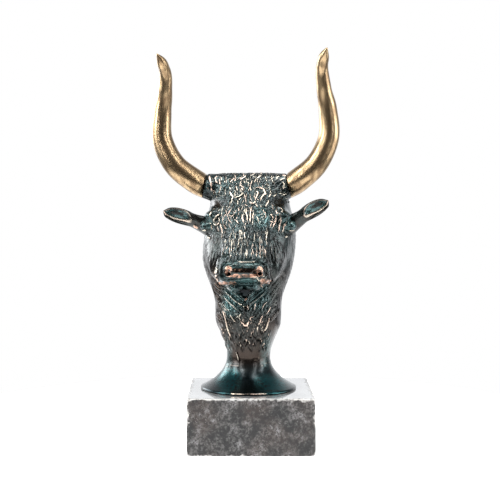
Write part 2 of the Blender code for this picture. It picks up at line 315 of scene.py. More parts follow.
def block(lower, upper):
    """Square block in mm as rings: up the middle of its base, its sides and over its top.

    A point whose second nearest face is nearer than the size of the chip there moves in
    along both faces' normals by half the difference, which leaves a flat break.
    """
    low, high = np.array(lower) * 1000, np.array(upper) * 1000
    middle, half = (low + high) / 2, (high - low) / 2
    across = runs((0.02, 0.90, 12), (0.91, 1, 14))
    side = 1 - 2 * runs((1, 0.93, 10), (0.92, 0.08, 44), (0.07, 0, 10))[1:-1]
    reach = np.concatenate([across, np.ones(len(side)), across[::-1]])
    level = np.concatenate([-np.ones(len(across)), side, np.ones(len(across))])
    edge = runs((-1, -0.93, 8), (-0.92, 0.92, 76), (0.93, 1, 8))[:-1]
    ones = np.ones(len(edge))
    walk = np.stack([np.concatenate([edge, ones, -edge, -ones]),
                     np.concatenate([-ones, edge, ones, -edge])])
    points = np.stack([
        middle[0] + half[0] * reach[:, None] * walk[0],
        middle[1] + half[1] * reach[:, None] * walk[1],
        middle[2] + half[2] * level[:, None] * np.ones(walk.shape[1]),
    ])
    away = points - middle[:, None, None]
    depth = half[:, None, None] - np.abs(away)
    second, third = np.sort(depth, axis=0)[1:]
    bite = lattice(points, 5.0, 1) + 0.8 * lattice(points, 2.2, 2) + 0.5 * lattice(points, 1.0, 3)
    chip = EDGE + CHIP * clamp(bite - CHIP_START) ** 1.2 + 0.12 * lattice(points, 0.7, 4)
    chip = chip + CORNER * clamp(1 - third / CORNER_REACH)
    move = np.clip(chip - second, 0, None) / 2
    nearest = depth <= second + 1e-9
    points = points - np.sign(away) * nearest * move
    rough = (0.10 * lattice(points, 1.6, 5) + 0.06 * lattice(points, 0.8, 6)
             + 0.10 * lattice(points, 6, 7))
    rough = rough * clamp((second - ROUGH_START) / ROUGH_FADE)
    level_face = depth[2] <= 1e-6
    outwards = np.sign(points - middle[:, None, None]) * (depth <= 1e-6)
    points = points + outwards * np.where(level_face, 0.0, rough - 0.1)
    # The pale band along the edges is worn stone and a painted highlight, fuller on the top edges.
    near = clamp(1.3 - second / PALE_LIT_BAND + 0.9 * lattice(points, 1.3, 8))
    near = near * np.where(points[2] > middle[2], 1.0, 0.6)
    worn_and_lit = np.maximum(clamp(move / 0.35), 0.8 * near)
    top = (np.abs(level - 1) < 1e-9)[:, None] * np.ones(walk.shape[1])
    return points.transpose(1, 2, 0) / 1000, worn_and_lit, top


rings, worn_and_lit, top = block(*PLINTH)
mesh = grid_mesh("plinth", rings, chip=worn_and_lit, polish=top)
seal(mesh)
stone, tree = material("mottled stone")
place = tree.node("TexCoord", "Object")
polish, chipped_and_lit = tree.attribute("polish"), tree.attribute("chip")
cloud = tree.noise(place, 90.0, 6.0, 0.65)
grain = tree.noise(place, 900.0, 4.0, 0.7)
fleck = tree.node("TexVoronoi", "Distance", None, {"Vector": place, "Scale": 700.0})
broad = tree.noise(place, 45.0, 4.0)
slant = tree.node("Mapping", "Vector", None, {"Vector": place, "Rotation": (0.6, 0.7, 0.5),
                                              "Scale": (1.0, 0.35, 1.0)})
scrape = tree.noise(slant, 420.0, 5.0, 0.7)
body = (cloud * 0.5 + scrape * 0.5).step(0.44, 0.58)
body = body.mix((0.005, 0.005, 0.005), (0.076, 0.072, 0.070))
body = (broad.step(0.42, 0.62) * 0.40).mix(body, (0.050, 0.032, 0.025))
body = (cloud.step(0.52, 0.70) * grain.step(0.42, 0.62)).mix(body, (0.21, 0.21, 0.215))
body = ((1.0 - fleck.step(0.08, 0.20)) * broad.step(0.5, 0.62) * 0.5).mix(body, (0.38, 0.37, 0.36))
body = ((1.0 - grain.step(0.38, 0.50)) * 0.85).mix(body, (0.008, 0.008, 0.008))
body = polish.mix(body, cloud.step(0.35, 0.65).mix((0.14, 0.138, 0.135), (0.27, 0.265, 0.26)))
# Chips and the band along the edges are pale: fresh stone, and a painted highlight on the edges.
pale_and_lit = (chipped_and_lit * (grain * 0.9 + 0.35)).step(0.30, 0.85)
body = (pale_and_lit * 0.75).mix(body, (0.62, 0.60, 0.57))
glossy = polish * (1.0 - chipped_and_lit)
tree.shade({
    "Base Color": body,
    "Roughness": glossy.blend(0.62, 0.08),
    "Coat Weight": glossy,
    "Coat Roughness": 0.05,
    "Normal": tree.bump(grain + fleck * 0.4, 0.0004, polish.blend(0.5, 0.02)),
})
piece("plinth", mesh, stone, "plinth")


# Head.
# One hollow bronze casting from the round foot to the crown, with its ears. Its dark
# blue-green patina is rubbed through to pinkish copper on every raised lock of hair.
UNIT = 0.001
FOOT = float(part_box("head")[0][2])
# Sizes in mm, heights above the foot's underside, and the turn of the head in degrees.
OFFSET_X = -1.3
HEAD_TURN = 5.2
TURN_PIVOT_Y = -15.0
NECK_SWAY = 1.4
TOP = 157.0
LIP = 1.1
WAIST = 23.8
FOOT_RADIUS = 35.1
SLEEVE_Y, SLEEVE_Z = -9.0, 148.4
SLEEVE_REACHES = (32.5, 28.8)
SLEEVE_RADIUS = 8.9
SLEEVE_TILT = 11.0


def through(position, stations, values):
    """Smooth curve through the values at the stations: cubic Hermite, central slopes."""
    stations = np.asarray(stations, dtype=float)
    values = np.asarray(values, dtype=float)
    slopes = np.gradient(values, stations)
    position = np.clip(position, stations[0], stations[-1])
    first = np.clip(np.searchsorted(stations, position) - 1, 0, len(stations) - 2)
    span = stations[first + 1] - stations[first]
    t = (position - stations[first]) / span
    start = (1 + 2 * t) * (1 - t) ** 2 * values[first] + t * (1 - t) ** 2 * span * slopes[first]
    end = t ** 2 * (3 - 2 * t) * values[first + 1] + t ** 2 * (t - 1) * span * slopes[first + 1]
    return start + end


def join(first, second, blend):
    """Union of two forms, with a fillet as wide as the blend."""
    mix = clamp(0.5 + 0.5 * (second - first) / blend)
    return second * (1 - mix) + first * mix - blend * mix * (1 - mix)


def cut(form, tool, blend):
    """The form without the tool, with a rounded edge as wide as the blend."""
    return -join(-form, tool, blend)


def rounded(power, *shares):
    """Size of a rounded block through a point, (|a|^p + |b|^p + ...)^(1/p), where its own is 1."""
    return sum(np.abs(share) ** power for share in shares) ** (1 / power)


def lump(x, y, z, centre, halves, tilt=0.0, power=2.0):
    """Depth below a rounded block |x/a|^p + |y/b|^p + |z/c|^p = 1, leaning back by tilt."""
    lean = math.radians(tilt)
    dx, dy, dz = x - centre[0], y - centre[1], z - centre[2]
    across = dy * math.cos(lean) - dz * math.sin(lean)
    along = dy * math.sin(lean) + dz * math.cos(lean)
    reach = np.sqrt(dx ** 2 + across ** 2 + along ** 2) + 1e-9
    size = rounded(power, dx / halves[0], across / halves[1], along / halves[2])
    return reach * (1 - 1 / np.maximum(size, 1e-6))


# The column is the neck and the skull above it: half-width, front and back by height.
FLARE_POWER = 2.3
COLUMN_HEIGHTS = (24, 29, 35, 41, 47, 53, 64.5, 70.4, 79.3, 88.2, 101.5, 109, 115, 125, 132,
                  141, 150, 157)
COLUMN_WIDTHS = (15.9, 16.3, 18.2, 20.8, 23.4, 24.2, 24.5, 25.8, 29, 32, 33.8, 33.7, 33.0,
                 31.8, 30, 28.2, 27.5, 25)
PROFILE_HEIGHTS = (24, 35, 47, 60, 70, 80, 95, 110, 124, 138, 148, 157)
FRONT_DEPTHS = (15.9, 18.5, 23.3, 25.6, 25.4, 26, 29, 32.5, 34, 29.5, 23, 13)
BACK_DEPTHS = (15.9, 18, 22, 24.6, 26.2, 27.8, 29.6, 29.6, 27, 21, 14, 6)


def column(x, y, z):
    """The round foot, its flare, the neck and the skull, in level slices."""
    rise = clamp((z - LIP) / (WAIST - LIP))
    foot = COLUMN_WIDTHS[0] + (FOOT_RADIUS - COLUMN_WIDTHS[0]) * (1 - rise) ** FLARE_POWER
    shift = z - WAIST + COLUMN_HEIGHTS[0]
    above = z > WAIST
    width = np.where(above, through(shift, COLUMN_HEIGHTS, COLUMN_WIDTHS), foot)
    front = np.where(above, through(shift, PROFILE_HEIGHTS, FRONT_DEPTHS), foot)
    back = np.where(above, through(shift, PROFILE_HEIGHTS, BACK_DEPTHS), foot)
    depth = np.where(y < 0, front, back)
    power = 2.0 + 0.5 * clamp((z - 70) / 40)
    reach = np.sqrt(x ** 2 + y ** 2) + 1e-9
    size = rounded(power, x / width, y / depth)
    return cut(reach * (1 - 1 / np.maximum(size, 1e-6)), TOP - z, 4.0)


def sleeve(x, y, z):
    """The bar across the poll that holds the horns, its ends leaning in at the top."""
    lean = math.radians(SLEEVE_TILT)
    reach = np.where(x < 0, *SLEEVE_REACHES)
    side = np.sqrt((y - SLEEVE_Y) ** 2 + (z - SLEEVE_Z) ** 2) - SLEEVE_RADIUS
    end = (np.abs(x) - reach) * math.cos(lean) + (z - SLEEVE_Z) * math.sin(lean)
    return cut(side, -end, 1.0)


def casting(x, y, z):
    """Signed depth of the whole casting without its ears, in mm: negative inside."""
    bar = sleeve(x, y, z)
    x = np.abs(x)
    form = column(x, y, z)
    # Snout, cheek bone, muzzle and chin.
    form = join(form, lump(x, y, z, (0, -34.5, 108), (16.5, 14, 32), 27, 2.5), 7.0)
    form = join(form, lump(x, y, z, (19, -22, 104), (9, 12, 24), 20), 8.0)
    form = join(form, lump(x, y, z, (0, -44.6, 88.9), (18.6, 12.8, 10.2), 14, 3.8), 3.0)
    form = join(form, lump(x, y, z, (0, -38.5, 78.2), (11.5, 13, 4.4), -6, 2.4), 2.0)
    # Brow, socket, eye and horn sleeve.
    form = join(form, lump(x, y, z, (25, -22.5, 126), (6.5, 8, 4.5), 10), 6.0)
    form = cut(form, lump(x, y, z, (34, -25.5, 118.5), (8, 10, 7.0)), 2.5)
    form = join(form, lump(x, y, z, (28.2, -21.2, 119.4), (5.4, 6.2, 5.0)), 0.6)
    form = join(form, bar, 3.0)
    # Nose pad, nostril, mouth and the hollow of the throat.
    form = join(form, lump(x, y, z, (0, -54, 89.4), (13.6, 5.8, 4.6), 14, 3.0), 0.8)
    form = cut(form, lump(x, y, z, (10.4, -60.0, 87.6), (3.0, 4.6, 2.6)), 1.0)
    form = cut(form, lump(x, y, z, (0, -54.5, 79.6), (14.0, 6.5, 1.3), 6, 4.0), 0.8)
    return cut(form, lump(x, y, z, (0, -31, 67), (6.0, 8, 7.5)), 4.0)


# The sections fan out from a spine: by its height, the spine's y, the angles at which a
# section leaves it to the front and the back, and the share of the sleeves it takes in.
SPINE_HEIGHTS = (24, 60, 90, 105, 125, 147)
SPINE_Y = (0, 0, -3, -7, -8, -7)
FRONT_HEIGHTS = (50, 58, 66, 76, 84, 90, 93, 96, 100, 105, 112, 121, 129, 135, 139, 143, 147)
FRONT_ANGLES = (0, -1, -7, -19, -28, -34, -25, -17.5, -12.5, -9, -5, 4, 20, 40, 60, 78, 90)
BACK_HEIGHTS = (90, 100, 110, 120, 130, 138, 147)
BACK_ANGLES = (0, 0, 8, 24, 48, 70, 90)
STRETCH_HEIGHTS = (122, 132, 138, 143, 147)
STRETCHES = (0, 8, 18, 23, 25)
FLAT_POWERS = (0, 0.6, 1.4, 2.0, 2.4)
ROW_COUNTS = (0, 20, 112, 134, 166, 316)
ROW_HEIGHTS = (23.8, 50, 90, 96, 104, 147)
FLARE_ROWS = 18
BACK_COLUMNS = 92
CROWDING = 0.34
FAR = 72.0
STEPS, HALVINGS = 60, 16


def section_heights():
    """Heights of the sections: the flat foot and lip, the flare, then the neck and head."""
    flare = LIP + (WAIST - LIP) * (np.arange(1, FLARE_ROWS) / FLARE_ROWS) ** 1.2
    upper = np.interp(np.arange(ROW_COUNTS[-1] + 1), ROW_COUNTS, ROW_HEIGHTS)
    return np.concatenate([[0.0, 0.5 * LIP, LIP], flare, upper])


def around(columns):
    """Angles of a half turn from -90 degrees, crowded towards its middle."""
    share = np.linspace(-1, 1, columns + 1)[:-1]
    return math.pi / 2 * (share - CROWDING * np.sin(math.pi * share) / math.pi)


def surface(heights, angles):
    """Point where each ray of each section leaves the casting, as (3, row, column).

    A ray starts on the spine, moved along X by stretch * sin u, and runs at
    cos u * (section line) + sin u * |sin u|^flat * X. The first place from outside where
    the casting is solid is found by steps and then by halving.
    """
    h, u = np.meshgrid(heights, angles, indexing="ij")
    front = np.radians(through(h, FRONT_HEIGHTS, FRONT_ANGLES))
    back = np.radians(through(h, BACK_HEIGHTS, BACK_ANGLES))
    stretch = through(h, STRETCH_HEIGHTS, STRETCHES)
    flat = through(h, STRETCH_HEIGHTS, FLAT_POWERS)
    lift = np.where(np.cos(u) >= 0, front, back)
    start = np.stack([stretch * np.sin(u), through(h, SPINE_HEIGHTS, SPINE_Y), h])
    ray = np.stack([
        np.sin(u) * np.abs(np.sin(u)) ** flat,
        -np.cos(u) * np.cos(lift),
        np.abs(np.cos(u)) * np.sin(lift),
    ])
    ray = ray / np.sqrt((ray ** 2).sum(axis=0))
    outer = np.full(h.shape, FAR)
    inner = np.zeros(h.shape)
    found = np.zeros(h.shape, dtype=bool)
    for reach in np.linspace(FAR, 0.5, STEPS):
        inside = casting(*(start + ray * reach)) < 0
        fresh = inside & ~found
        inner = np.where(fresh, reach, inner)
        found = found | inside
        outer = np.where(found, outer, reach)
    for _ in range(HALVINGS):
        middle = 0.5 * (inner + outer)
        inside = casting(*(start + ray * middle)) < 0
        inner = np.where(inside, middle, inner)
        outer = np.where(inside, outer, middle)
    return start + ray * inner


def outward(points):
    """Unit normals of a grid of points (3, row, column) whose columns close in a ring."""
    ahead = np.roll(points, -1, axis=2) - np.roll(points, 1, axis=2)
    upward = np.gradient(points, axis=1)
    normal = np.cross(ahead, upward, axis=0)
    return normal / (np.sqrt((normal ** 2).sum(axis=0)) + 1e-9)


def turned(points):
    """Turn the head about an upright axis before the neck, more and more above the waist."""
    share = clamp((points[2] - 20) / 25)
    turn = math.radians(HEAD_TURN) * share ** 2 * (3 - 2 * share)
    ahead = points[1] - TURN_PIVOT_Y
    x = np.cos(turn) * points[0] + np.sin(turn) * ahead
    y = -np.sin(turn) * points[0] + np.cos(turn) * ahead + TURN_PIVOT_Y
    sway = NECK_SWAY * np.interp(points[2], (30, 50, 95, 112), (0, 1, 1, 0))
    return np.stack([x - sway + OFFSET_X, y, points[2] + FOOT / UNIT])


def view(points):
    """Where the camera sees points in mm, in five-hundredths of its picture from top left."""
    far = points[1] - EYE[1] / UNIT
    scale = 500 * LENS / SENSOR
    across = 250 - 500 * SHIFT[0] + scale * (points[0] - EYE[0] / UNIT) / far
    down = 250 + 500 * SHIFT[1] - scale * (points[2] - EYE[2] / UNIT) / far
    return np.stack([across, down])


class Coat:
    """The hair and skin over a surface: strands are laid on it one after another.

    relief is the height above the surface in mm, crest is how far up a strand's back a
    point lies, from 0 to 1, and gap is 1 in the groove beside a strand, which is painted
    dark: dark patina and painted shade.
    """

    LARGEST = 60000

    def __init__(self, points):
        self.points = points
        self.rows, self.columns = points.shape[1:]
        ahead = np.roll(points, -1, axis=2) - points
        self.across = np.sqrt((ahead ** 2).sum(axis=0)) + 1e-6
        self.upward = np.sqrt((np.gradient(points, axis=1) ** 2).sum(axis=0)) + 1e-6
        self.relief = np.zeros(points.shape[1:])
        self.crest = np.zeros(points.shape[1:])
        self.gap = np.zeros(points.shape[1:])

    def clear(self, mask):
        """Take off everything where the mask is 1."""
        self.relief *= 1 - mask
        self.crest *= 1 - mask
        self.gap *= 1 - mask

    def at(self, field, row, column):
        """The field at the grid place nearest to each row and column."""
        i = np.clip(np.rint(row).astype(int), 0, self.rows - 1)
        return field[..., i, np.rint(column).astype(int) % self.columns]

    def walk(self, row, column, heading, bend, twist, length, steps):
        """Paths over the surface from each start: heading in degrees, 90 is up the rows.

        The heading changes by bend over the whole path, and by twist there and back.
        """
        places = [(row, column)]
        stride = length / steps
        for k in range(steps):
            t = (k + 0.5) / steps
            angle = np.radians(heading + bend * t + twist * math.sin(2 * math.pi * t))
            row = row + stride * np.sin(angle) / self.at(self.upward, row, column)
            column = column + stride * np.cos(angle) / self.at(self.across, row, column)
            row = np.clip(row, 1, self.rows - 3)
            places.append((row, column))
        return np.array(places).transpose(2, 0, 1)

    def lay(self, path, width, height, shine=1.0, cover=0.35, groove=1.0, blunt=0.25):
        """Lay one strand along a path of rows and columns: half its width, and its height.

        It is round in section, thickens and thins along its path, and rides up on
        what lies under it by the share cover. Beside it runs a shallow groove, painted dark:
        painted shade. A path whose window holds more than the LARGEST number of points is left out.
        """
        rise, run = path[:, 0], path[:, 1]
        line = self.at(self.points, rise, run)
        legs = np.sqrt((np.diff(line, axis=1) ** 2).sum(axis=0))
        total = np.concatenate([[0], np.cumsum(legs)])
        count = max(4, int(total[-1] / (0.45 * width)) + 1)
        fine = np.linspace(0, total[-1], count)
        rise, run = np.interp(fine, total, rise), np.interp(fine, total, run)
        line = self.smooth(rise, run)
        spread = 1.0 + width * 1.8
        margin_rows = spread / float(self.at(self.upward, rise, run).min())
        margin_columns = spread / float(self.at(self.across, rise, run).min())
        i = np.arange(max(1, int(rise.min() - margin_rows)),
                      min(self.rows - 2, int(rise.max() + margin_rows) + 2))
        j = np.arange(int(run.min() - margin_columns), int(run.max() + margin_columns) + 2)
        j = j % self.columns
        if len(i) < 2 or len(i) * len(j) > self.LARGEST:
            return
        window = np.ix_(i, j)
        places = self.points[:, i[:, None], j[None, :]]
        distance = np.sqrt(((places[:, :, :, None] - line[:, None, None, :]) ** 2).sum(axis=0))
        nearest = distance.argmin(axis=2)
        away = distance.min(axis=2)
        t = nearest / (count - 1)
        taper = clamp(np.minimum(t, 1 - t) / blunt) ** 0.6 * 0.75 + 0.25
        half = width * taper
        back = clamp(1 - (away / half) ** 2)
        under = float(self.at(self.relief, rise, run).mean()) * cover
        # The groove beside the strand sinks a little and is painted dark: painted shade.
        groove_and_shade = clamp(1 - (away - half) / (0.75 * width)) * (away >= half) * groove
        relief = self.relief[window] * (1 - 0.85 * groove_and_shade)
        crest = self.crest[window] * (1 - groove_and_shade)
        gap = np.maximum(self.gap[window], groove_and_shade)
        self.relief[window] = np.where(back > 0, under + height * taper * np.sqrt(back), relief)
        self.crest[window] = np.where(back > 0, back * (0.45 + 0.55 * taper) * shine, crest)
        self.gap[window] = np.where(back > 0, 0.0, gap)

    def smooth(self, rise, run):
        """Points of the surface between the grid's own, for whole paths."""
        i = np.clip(np.floor(rise).astype(int), 0, self.rows - 2)
        j = np.floor(run).astype(int)
        a, b = rise - i, run - j
        corner = [self.points[:, i + down, (j + on) % self.columns]
                  for down in (0, 1) for on in (0, 1)]
        return (corner[0] * (1 - a) * (1 - b) + corner[1] * (1 - a) * b
                + corner[2] * a * (1 - b) + corner[3] * a * b)


angles = np.concatenate([around(2 * BACK_COLUMNS), around(BACK_COLUMNS) + math.pi])
skin = surface(section_heights(), angles)
coat = Coat(skin)
sight = view(turned(skin))
normals = outward(skin)
front = normals[1] < 0.25


def spot(places):
    """Rows and columns of the grid whose points are seen at these places of the picture."""
    found = []
    for across, down in places:
        far = (sight[0] - across) ** 2 + (sight[1] - down) ** 2
        score = np.where(front, far, 1e6) + 0.004 * (skin[1] + 60)
        found.append(np.unravel_index(score.argmin(), score.shape))
    found = np.array(found, dtype=float)
    found[:, 1] = np.unwrap(found[:, 1], period=skin.shape[2])
    return found


def curve(places, per=5):
    """A smooth line through a few places, as more places."""
    if len(places) == 2:
        share = np.linspace(0, 1, per + 1)[:, None]
        return places[0] * (1 - share) + places[1] * share
    stations = np.arange(len(places))
    fine = np.linspace(0, len(places) - 1, (len(places) - 1) * per + 1)
    return np.stack([through(fine, stations, places[:, k]) for k in range(2)], axis=1)


rng = np.random.default_rng(7)
MOST_TRIED = 12000


def scatter(mask, gap, squeeze):
    """Places under the mask in random order, none within the gap in mm of another.

    Differences of height count by the share squeeze alone, so places pack closer upwards.
    """
    row, column = np.nonzero(mask)
    order = rng.permutation(len(row))[:MOST_TRIED]
    spots = (skin[:, row, column] * np.array([[1], [1], [squeeze]])).T
    kept = np.empty((0, 3))
    chosen = []
    for k in order:
        if not len(kept) or ((kept - spots[k]) ** 2).sum(axis=1).min() > gap * gap:
            kept = np.vstack([kept, spots[k]])
            chosen.append(k)
    return row[chosen].astype(float), column[chosen].astype(float)


def family(mask, gap, squeeze, heading, fan, swirl, bend, twist, length, width, height, shine):
    """Lay strands scattered under a mask.

    Their heading in degrees turns by fan for each mm from the face's middle, and swirls
    with a slow noise, so neighbours lie alike. Bend, twist, length, half-width, height and
    shine vary about the values given.
    """
    row, column = scatter(mask, gap, squeeze)
    count = len(row)
    start = coat.at(skin, row, column)
    turn = heading - fan * start[0] + swirl * lattice(start, 9.0, 40)
    turn = turn + 0.35 * swirl * rng.normal(size=count)
    curl = bend * (lattice(start, 7.0, 41) + 0.6 * rng.normal(size=count))
    sway = twist * (lattice(start, 6.0, 42) + 0.6 * rng.normal(size=count))
    reach = length * rng.uniform(0.65, 1.3, size=count)
    paths = coat.walk(row, column, turn, curl, sway, reach, 8)
    for path, size, glow in zip(paths, rng.uniform(0.75, 1.2, count), rng.uniform(0.3, 1.0, count)):
        coat.lay(path, width * size, height * size, shine * glow ** 0.5)


def seen_in(left, top, right, bottom):
    """Mask of the front within a box of the picture."""
    across, down = sight
    return front & (across > left) & (across < right) & (down > top) & (down < bottom)


# Families of strands from the nape round to the forehead: what each row says is in family.
x, y, z = skin
rear = normals[1] > -0.1
FAMILIES = (
    (rear & (z > 108), 3.4, 0.5, 90, 0, 30, 30, 20, 10.0, 1.7, 0.8, 0.35),
    (rear & (z > 60) & (z < 112), 4.2, 0.35, 90, 0, 12, 10, 10, 15.0, 1.5, 0.35, 0.12),
    (seen_in(204, 226, 226, 330) | seen_in(262, 226, 296, 330),
     3.2, 0.35, 90, -0.8, 12, 10, 10, 9.0, 0.9, 0.22, 0.08),
    (seen_in(220, 285, 272, 322), 2.6, 0.4, 90, 3.0, 8, 10, 10, 11.0, 1.2, 0.8, 0.22),
    (seen_in(224, 308, 268, 352), 2.4, 0.45, 96, 1.0, 25, 25, 30, 6.5, 1.0, 0.7, 0.3),
    (seen_in(226, 310, 266, 350), 2.8, 0.36, 96, 1.0, 25, 35, 45, 8.0, 0.55, 1.0, 0.85),
    (seen_in(212, 230, 222, 262) | seen_in(266, 230, 277, 262),
     2.4, 0.35, 90, 0, 8, 8, 10, 9.0, 0.75, 0.5, 0.6),
    (seen_in(221, 229, 267, 261), 2.2, 0.32, 90, 0, 8, 8, 14, 9.5, 0.95, 0.6, 0.25),
    (seen_in(222, 229, 266, 260), 2.2, 0.26, 90, 0, 7, 10, 16, 12.5, 0.50, 0.9, 0.95),
    (seen_in(210, 204, 286, 234), 2.3, 0.42, 90, 0.5, 22, 25, 30, 8.0, 1.1, 0.7, 0.25),
    (seen_in(212, 206, 284, 232), 2.5, 0.30, 90, 0.5, 20, 25, 30, 10.5, 0.55, 1.0, 0.95),
    (z > 150, 2.4, 0.6, 90, 0, 25, 25, 30, 6.0, 1.0, 0.5, 0.7),
    (seen_in(203, 176, 294, 207), 2.4, 0.42, 88, 0, 32, 25, 32, 8.0, 1.1, 0.8, 0.28),
    (seen_in(204, 174, 293, 206), 2.5, 0.34, 90, 0, 24, 35, 45, 10.5, 0.55, 1.05, 0.9),
)
for row in FAMILIES:
    family(*row)


def patch(centre, halves, power=2.0, soft=0.35):
    """1 inside a rounded box of the picture, |x/a|^p + |y/b|^p = 1, falling to 0 outside it."""
    far = rounded(power, (sight[0] - centre[0]) / halves[0], (sight[1] - centre[1]) / halves[1])
    return clamp((1 + soft - far) / (2 * soft)) * front


def ridge(value, middle, width):
    """1 at the middle, falling off to both sides."""
    return np.exp(-((value - middle) / width) ** 2)


# The skin is smooth below the horns and on the muzzle.
for centre, halves, power in (((207, 208), (4.5, 7), 2), ((289.5, 208.5), (5, 7), 2),
                              ((244.5, 273.5), (25.5, 14.5), 3.5)):
    coat.clear(patch(centre, halves, power, 0.12))

# The eyeballs swell out between lids, under a fold. The lid, the fold and the slit between
# lid and ball are rings round the ball: each by its size as a share of the ball's, and its
# width. The slit is not cut but painted dark: painted shade. Heights are in mm.
BALL_HALVES = (4.4, 3.7)
LID, FOLD, SHADED_SLIT = (1.28, 0.17), (1.85, 0.17), (1.03, 0.10)
BALL_HEIGHT, LID_HEIGHT, FOLD_HEIGHT, EYE_DEPTH = 2.0, 1.2, 0.9, 0.6
for side in (-1, 1):
    seat = ((x - 30 * side) ** 2 + (y + 22) ** 2 + (z - 119.5) ** 2).argmin()
    centre = skin.reshape(3, -1)[:, seat]
    along = np.hypot(x - centre[0], y - centre[1])
    above = z - centre[2]
    far = np.hypot(along / BALL_HALVES[0], above / BALL_HALVES[1])
    slant = clamp(0.5 + above / 3)
    near = clamp(2.6 - far) * (np.sign(x) == side)
    coat.clear(near)
    lid = ridge(far, *LID) * (0.6 + 0.4 * slant)
    fold = ridge(far, *FOLD) * slant
    ball = clamp(1 - far ** 2) ** 0.5
    coat.relief += near * (BALL_HEIGHT * ball + LID_HEIGHT * lid + FOLD_HEIGHT * fold - EYE_DEPTH)
    rubbed = 0.62 * lid * (0.7 + 0.3 * lattice(skin, 2.0, 46)) + 0.3 * fold
    coat.crest = np.maximum(coat.crest, near * rubbed)
    # The slit between lid and ball is painted dark: painted shade.
    coat.gap = np.maximum(coat.gap, near * ridge(far, *SHADED_SLIT))

